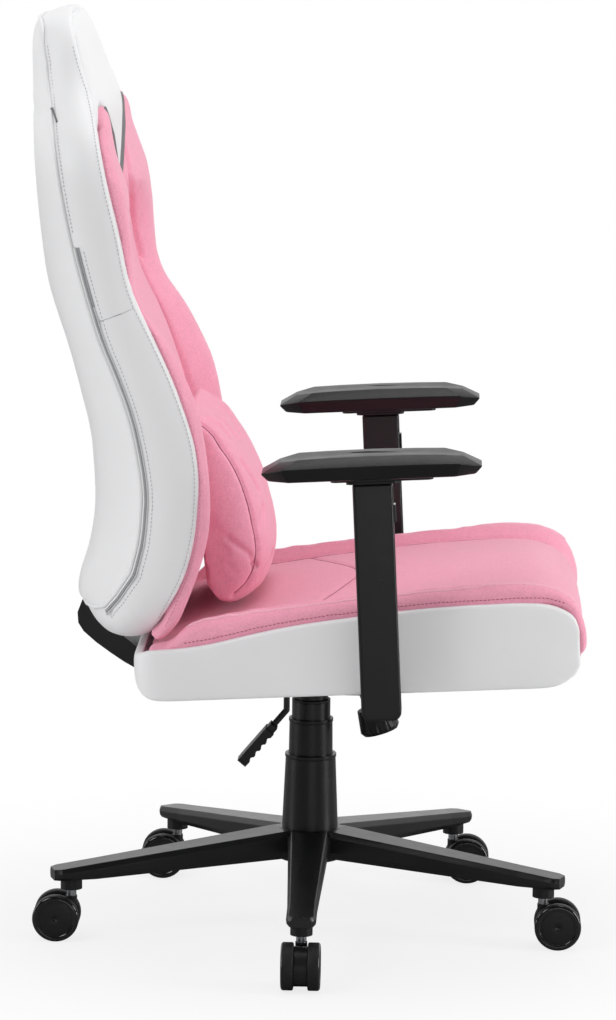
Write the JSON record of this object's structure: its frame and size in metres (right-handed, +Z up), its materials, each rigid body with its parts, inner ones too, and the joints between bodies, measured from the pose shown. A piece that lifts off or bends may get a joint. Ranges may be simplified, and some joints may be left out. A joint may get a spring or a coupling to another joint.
{
  "type": "gaming chair",
  "caption": "High-backed swivel gaming chair with winged bolstered back, lumbar cushion, height-adjustable armrests, gas lift and five-star caster base.",
  "frame": {"origin": "on the floor under the swivel axis", "axes": "+X the chair's front, +Y the sitter's left, +Z up"},
  "size_m": [0.7147, 0.7263, 1.2025],
  "materials": {
    "base_steel": "satin black powder coat",
    "socket_plastic": "black moulded nylon",
    "cover_plastic": "satin black moulded plastic",
    "tube_steel": "semi-gloss black coating",
    "bush_plastic": "natural acetal",
    "bright_steel": "ground steel",
    "caster_plastic": "black moulded nylon",
    "wheel_plastic": "glossy black rim, matt cap",
    "stem_steel": "zinc-plated steel",
    "lever_black": "black coated rod",
    "grip_plastic": "grained black plastic",
    "plywood": "raw plywood",
    "pink_fabric": "fine woven upholstery",
    "white_leather": "smooth white leatherette",
    "arm_plastic": "satin black moulded plastic",
    "pad_pu": "soft black polyurethane"
  },
  "bodies": {
    "base": {"star_base": "base_steel", "leg_end_sockets": "socket_plastic", "stand_tube": "tube_steel", "guide_bush": "bush_plastic", "thrust_bearing": "bright_steel", "lower_cover": "cover_plastic", "middle_cover": "cover_plastic"},
    "lift_rod": {"piston_rod": "bright_steel", "retaining_clip": "bright_steel"},
    "chassis": {"gas_cylinder": "tube_steel", "tilt_housing": "base_steel", "pivot_pins": "bright_steel", "tilt_spring": "bright_steel"},
    "height_lever": {"lever_rod": "lever_black", "lever_grip": "grip_plastic"},
    "knob": {"tension_knob": "grip_plastic"},
    "seat": {"seat_plate": "base_steel", "seat_pan": "plywood", "seat_cushion": "pink_fabric", "seat_side_cover": "white_leather", "seat_bolts": "bright_steel", "arm_bracket_left": "base_steel", "arm_sleeve_left": "arm_plastic", "arm_bracket_right": "base_steel", "arm_sleeve_right": "arm_plastic"},
    "back": {"back_bar": "base_steel", "back_frame": "plywood", "back_shell": "white_leather", "back_cushion": "pink_fabric", "back_bolster_left": "pink_fabric", "back_bolster_right": "pink_fabric"},
    "lumbar": {"lumbar_cushion": "pink_fabric"},
    "arm_post_left_body": {"arm_post_left": "arm_plastic"},
    "arm_slide_left_body": {"arm_slide_left": "arm_plastic"},
    "arm_pad_left_body": {"arm_pad_left": "pad_pu"},
    "arm_button_left_body": {"arm_button_left": "grip_plastic"},
    "arm_post_right_body": {"arm_post_right": "arm_plastic"},
    "arm_slide_right_body": {"arm_slide_right": "arm_plastic"},
    "arm_pad_right_body": {"arm_pad_right": "pad_pu"},
    "arm_button_right_body": {"arm_button_right": "grip_plastic"},
    "caster_1": {"caster_1_hood": "caster_plastic", "caster_1_stem": "stem_steel"},
    "wheels_1": {"caster_1_wheels": "wheel_plastic", "caster_1_axle": "stem_steel"},
    "caster_2": {"caster_2_hood": "caster_plastic", "caster_2_stem": "stem_steel"},
    "wheels_2": {"caster_2_wheels": "wheel_plastic", "caster_2_axle": "stem_steel"},
    "caster_3": {"caster_3_hood": "caster_plastic", "caster_3_stem": "stem_steel"},
    "wheels_3": {"caster_3_wheels": "wheel_plastic", "caster_3_axle": "stem_steel"},
    "caster_4": {"caster_4_hood": "caster_plastic", "caster_4_stem": "stem_steel"},
    "wheels_4": {"caster_4_wheels": "wheel_plastic", "caster_4_axle": "stem_steel"},
    "caster_5": {"caster_5_hood": "caster_plastic", "caster_5_stem": "stem_steel"},
    "wheels_5": {"caster_5_wheels": "wheel_plastic", "caster_5_axle": "stem_steel"}
  },
  "joints": [
    {"name": "seat_swivel", "type": "hinge", "parent": "base", "child": "lift_rod", "pos_m": [0, 0, 0], "axis": [0, 0, 1], "continuous": true},
    {"name": "seat_height", "type": "slide", "parent": "lift_rod", "child": "chassis", "axis": [0, 0, 1], "range_m": [0, 0.1]},
    {"name": "back_recline", "type": "hinge", "parent": "chassis", "child": "back", "pos_m": [-0.095, 0, 0.327], "axis": [0, -1, 0], "range_deg": [0, 15], "stiffness_Nm_per_rad": 260, "springref_deg": -17.19},
    {"name": "seat_tilt", "type": "hinge", "parent": "chassis", "child": "seat", "pos_m": [0.09528, 0, 0.32996], "axis": [0, -1, 0], "range_deg": [0, 6]},
    {"name": "lever_lift", "type": "hinge", "parent": "chassis", "child": "height_lever", "pos_m": [-0.028, 0, 0.334], "axis": [0, 1, 0], "range_deg": [0, 8], "stiffness_Nm_per_rad": 3, "springref_deg": -11.46},
    {"name": "tension_turn", "type": "hinge", "parent": "chassis", "child": "knob", "pos_m": [0.072, 0, 0.32], "axis": [0.3007, 0, -0.9537], "range_deg": [0, 1620]},
    {"name": "arm_height_left", "type": "slide", "parent": "seat", "child": "arm_post_left_body", "axis": [-0.0523, 0, 0.9986], "range_m": [0, 0.08]},
    {"name": "arm_reach_left", "type": "slide", "parent": "arm_post_left_body", "child": "arm_slide_left_body", "axis": [0.9986, 0, 0.0523], "range_m": [-0.025, 0.025]},
    {"name": "arm_turn_left", "type": "hinge", "parent": "arm_slide_left_body", "child": "arm_pad_left_body", "pos_m": [0.12513, 0.31, 0.64896], "axis": [-0.0523, 0, 0.9986], "range_deg": [-20, 20]},
    {"name": "arm_button_push_left", "type": "slide", "parent": "seat", "child": "arm_button_left_body", "axis": [-0.9986, 0, -0.0523], "range_m": [0, 0.002], "stiffness_N_per_m": 600, "springref_m": -0.002},
    {"name": "arm_height_right", "type": "slide", "parent": "seat", "child": "arm_post_right_body", "axis": [-0.0523, 0, 0.9986], "range_m": [0, 0.08]},
    {"name": "arm_reach_right", "type": "slide", "parent": "arm_post_right_body", "child": "arm_slide_right_body", "axis": [0.9986, 0, 0.0523], "range_m": [-0.025, 0.025]},
    {"name": "arm_turn_right", "type": "hinge", "parent": "arm_slide_right_body", "child": "arm_pad_right_body", "pos_m": [0.12513, -0.31, 0.64896], "axis": [-0.0523, 0, 0.9986], "range_deg": [-20, 20]},
    {"name": "arm_button_push_right", "type": "slide", "parent": "seat", "child": "arm_button_right_body", "axis": [-0.9986, 0, -0.0523], "range_m": [0, 0.002], "stiffness_N_per_m": 600, "springref_m": -0.002},
    {"name": "lumbar_height", "type": "slide", "parent": "back", "child": "lumbar", "axis": [0, 0, 1], "range_m": [0, 0.06]},
    {"name": "caster_1_swivel", "type": "hinge", "parent": "base", "child": "caster_1", "pos_m": [0, -0.32, 0.06], "axis": [0, 0, 1], "continuous": true},
    {"name": "caster_1_roll", "type": "hinge", "parent": "caster_1", "child": "wheels_1", "pos_m": [0, -0.339, 0.03], "axis": [1, 0, 0], "continuous": true},
    {"name": "caster_2_swivel", "type": "hinge", "parent": "base", "child": "caster_2", "pos_m": [0.30434, -0.09889, 0.06], "axis": [0, 0, 1], "continuous": true},
    {"name": "caster_2_roll", "type": "hinge", "parent": "caster_2", "child": "wheels_2", "pos_m": [0.32334, -0.09889, 0.03], "axis": [0, 1, 0], "continuous": true},
    {"name": "caster_3_swivel", "type": "hinge", "parent": "base", "child": "caster_3", "pos_m": [0.18809, 0.25889, 0.06], "axis": [0, 0, 1], "continuous": true},
    {"name": "caster_3_roll", "type": "hinge", "parent": "caster_3", "child": "wheels_3", "pos_m": [0.20709, 0.25889, 0.03], "axis": [0, 1, 0], "continuous": true},
    {"name": "caster_4_swivel", "type": "hinge", "parent": "base", "child": "caster_4", "pos_m": [-0.18809, 0.25889, 0.06], "axis": [0, 0, 1], "continuous": true},
    {"name": "caster_4_roll", "type": "hinge", "parent": "caster_4", "child": "wheels_4", "pos_m": [-0.20709, 0.25889, 0.03], "axis": [0, -1, 0], "continuous": true},
    {"name": "caster_5_swivel", "type": "hinge", "parent": "base", "child": "caster_5", "pos_m": [-0.30434, -0.09889, 0.06], "axis": [0, 0, 1], "continuous": true},
    {"name": "caster_5_roll", "type": "hinge", "parent": "caster_5", "child": "wheels_5", "pos_m": [-0.32334, -0.09889, 0.03], "axis": [0, -1, 0], "continuous": true}
  ],
  "couplings": [
    {"joint": "seat_tilt", "follows": "back_recline", "ratio": 0.4}
  ]
}
